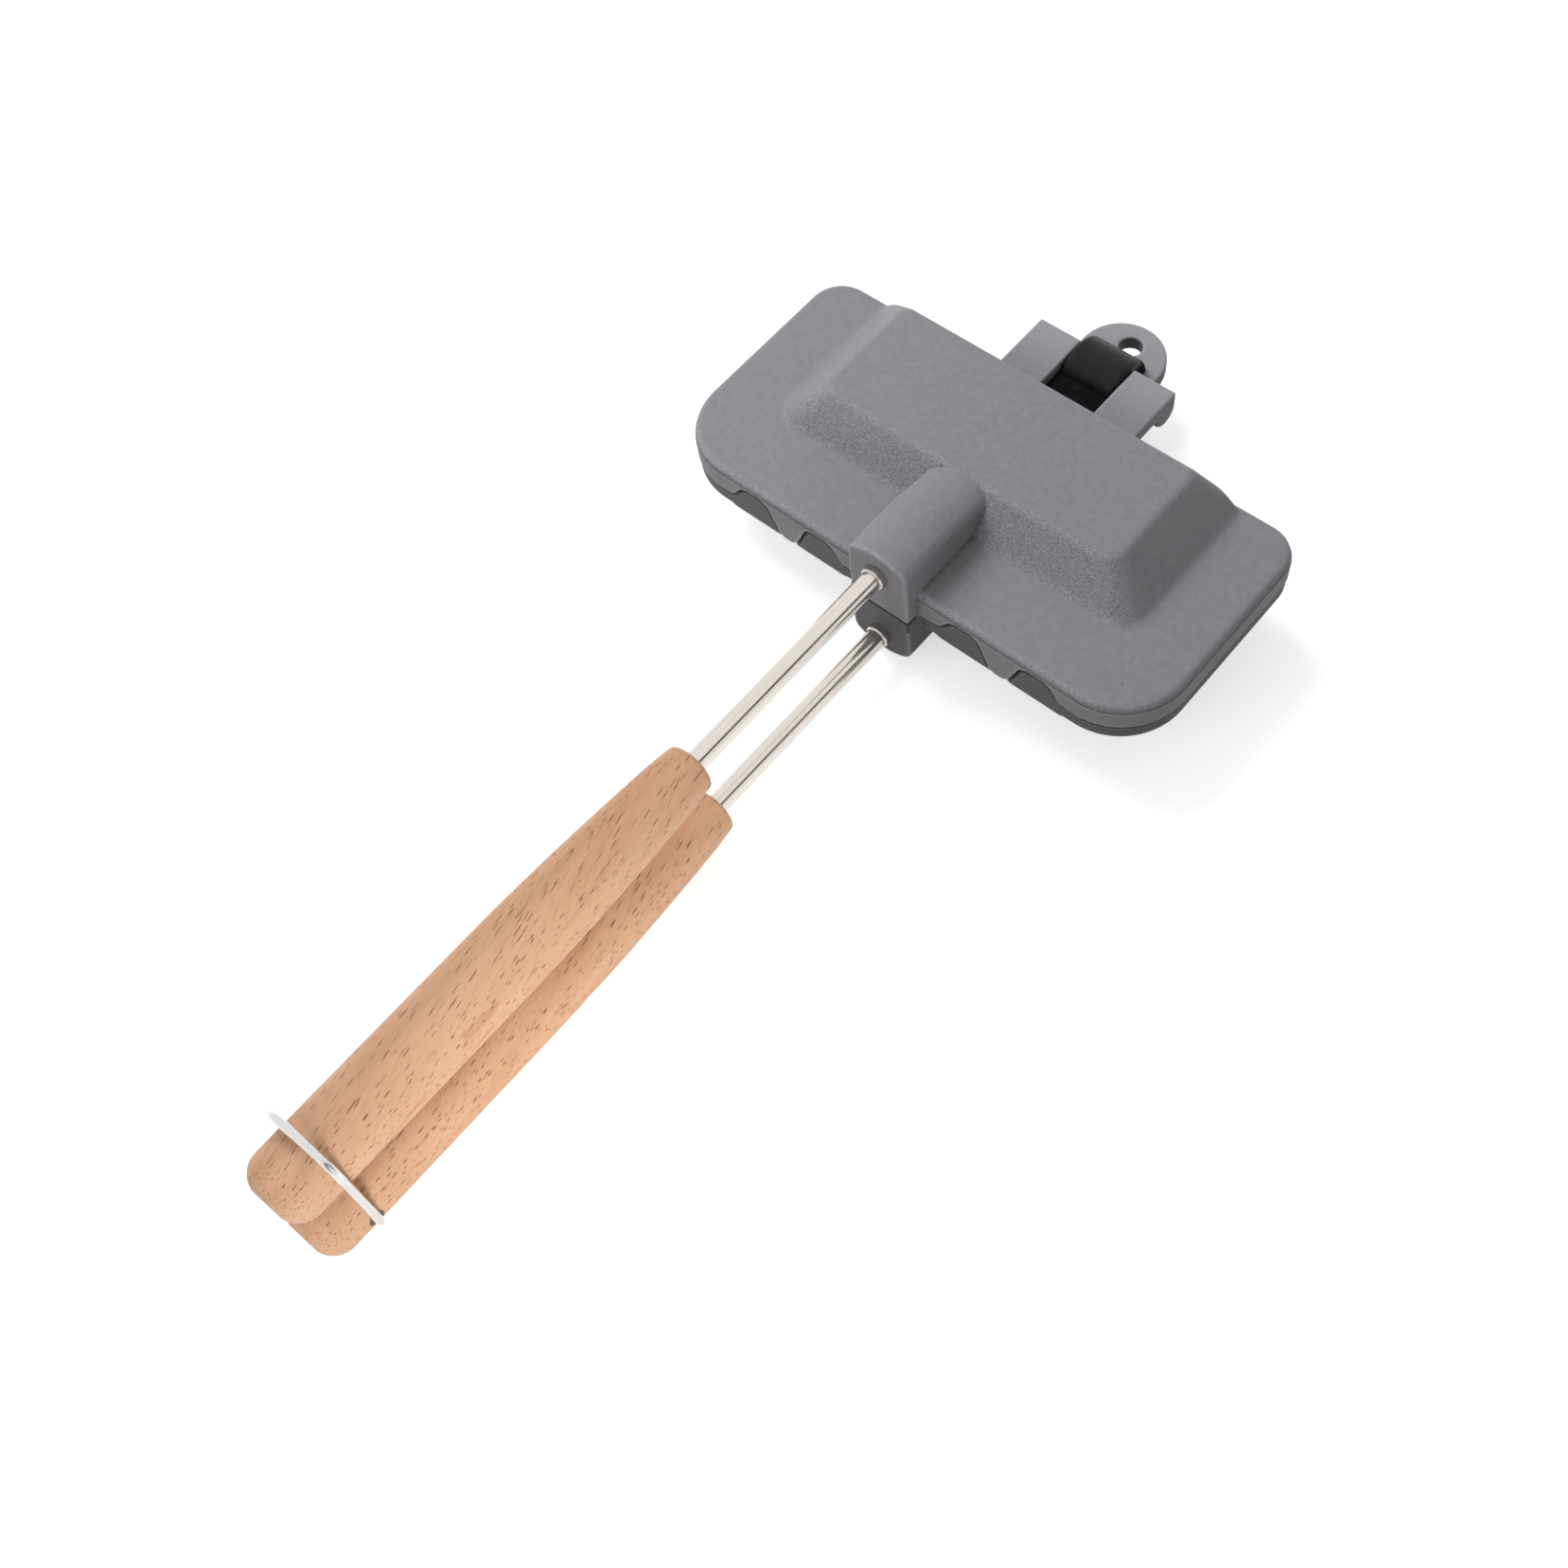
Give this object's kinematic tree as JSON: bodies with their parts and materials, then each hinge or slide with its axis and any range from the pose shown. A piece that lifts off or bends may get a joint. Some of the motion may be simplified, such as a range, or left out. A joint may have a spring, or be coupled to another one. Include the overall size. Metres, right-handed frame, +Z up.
{
  "type": "double-sided sandwich pan",
  "caption": "Double-sided sandwich pan: two hinged grey non-stick trays with a wavy interlocking front seam, metal-tube handles with beech grips, a wire locking bail and a hanging tab.",
  "frame": {"origin": "middle of the trays, in the plane of the lower tray's flat base", "axes": "+X along the trays to the right, +Y away from the handles towards the hinge, +Z up through the trays"},
  "size_m": [0.2116, 0.4429, 0.0673],
  "materials": {
    "coated_cast": "matt non-stick coating",
    "black_nylon": "matt",
    "bright_tube": "bright nickel",
    "bright_wire": "polished",
    "plain_steel": "plain",
    "beech": "satin"
  },
  "bodies": {
    "lower": {"lower_pan": "coated_cast", "hinge_knuckle": "black_nylon", "knuckle_screws": "plain_steel", "hinge_pin": "plain_steel", "lower_tube": "bright_tube", "lower_collar": "bright_tube", "lower_tie_rod": "plain_steel", "lower_grip": "beech", "lower_washer": "plain_steel", "lower_spring_washer": "plain_steel", "lower_nut": "plain_steel", "bail_bushes": "plain_steel"},
    "upper": {"upper_pan": "coated_cast", "pin_plug": "coated_cast", "upper_tube": "bright_tube", "upper_collar": "bright_tube", "upper_tie_rod": "plain_steel", "upper_grip": "beech", "upper_washer": "plain_steel", "upper_spring_washer": "plain_steel", "upper_nut": "plain_steel"},
    "bail": {"locking_bail": "bright_wire"}
  },
  "joints": [
    {"name": "fold", "type": "hinge", "parent": "lower", "child": "upper", "pos_m": [0, 0.0734, 0.0288], "axis": [-1, 0, 0], "range_deg": [0, 140]},
    {"name": "bail_swing", "type": "hinge", "parent": "lower", "child": "bail", "pos_m": [0, -0.3185, 0.01105], "axis": [1, 0, 0], "range_deg": [0, 250]}
  ]
}
